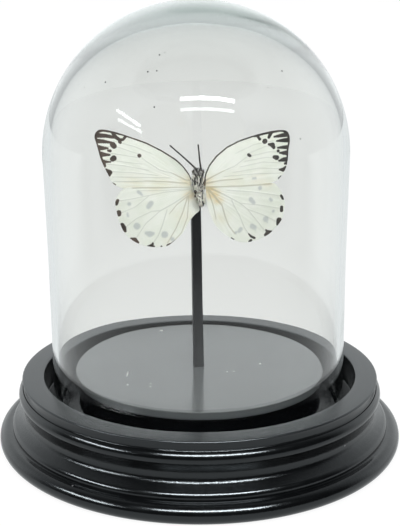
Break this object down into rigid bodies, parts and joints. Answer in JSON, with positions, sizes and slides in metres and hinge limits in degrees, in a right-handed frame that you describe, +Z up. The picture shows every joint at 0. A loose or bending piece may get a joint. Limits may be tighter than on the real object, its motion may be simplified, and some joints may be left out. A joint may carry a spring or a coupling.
{
  "type": "insect in glass dome",
  "caption": "Dried white butterfly with spread wings on a square post over a round disc, under a clear glass dome that rests in the groove of a turned black wooden base.",
  "frame": {"origin": "centre of the base's underside, on the surface that the object stands on", "axes": "+Z up through the dome's crown, -Y the front that the butterfly's underside faces, +X to the viewer's right"},
  "size_m": [0.1386, 0.1386, 0.1486],
  "materials": {
    "black_lacquer_wood": "glossy black lacquer over turned wood",
    "grey_painted_board": "satin dark grey paint",
    "black_painted_stick": "satin black paint",
    "clear_glass": "clear blown glass, faintly green in the thick crown",
    "dried_glue": "dried clear glue",
    "pale_body_hair": "grey and white scales and hair",
    "dark_head_hair": "dark scales and hair with brown eyes",
    "white_wing": "cream white scales with dark vein ends and grey spots",
    "dark_chitin": "thin dark brown chitin"
  },
  "bodies": {
    "root": {"base": "black_lacquer_wood", "display_disc": "grey_painted_board", "post": "black_painted_stick", "glass_dome": "clear_glass", "glue_dab": "dried_glue", "thorax": "pale_body_hair", "head": "dark_head_hair", "abdomen": "pale_body_hair", "forewing_left": "white_wing", "hindwing_left": "white_wing", "forewing_right": "white_wing", "hindwing_right": "white_wing", "antenna_left": "dark_chitin", "antenna_right": "dark_chitin", "foreleg_left": "dark_chitin", "foreleg_right": "dark_chitin", "midleg_left": "dark_chitin", "midleg_right": "dark_chitin", "hindleg_left": "dark_chitin", "hindleg_right": "dark_chitin"}
  },
  "joints": []
}
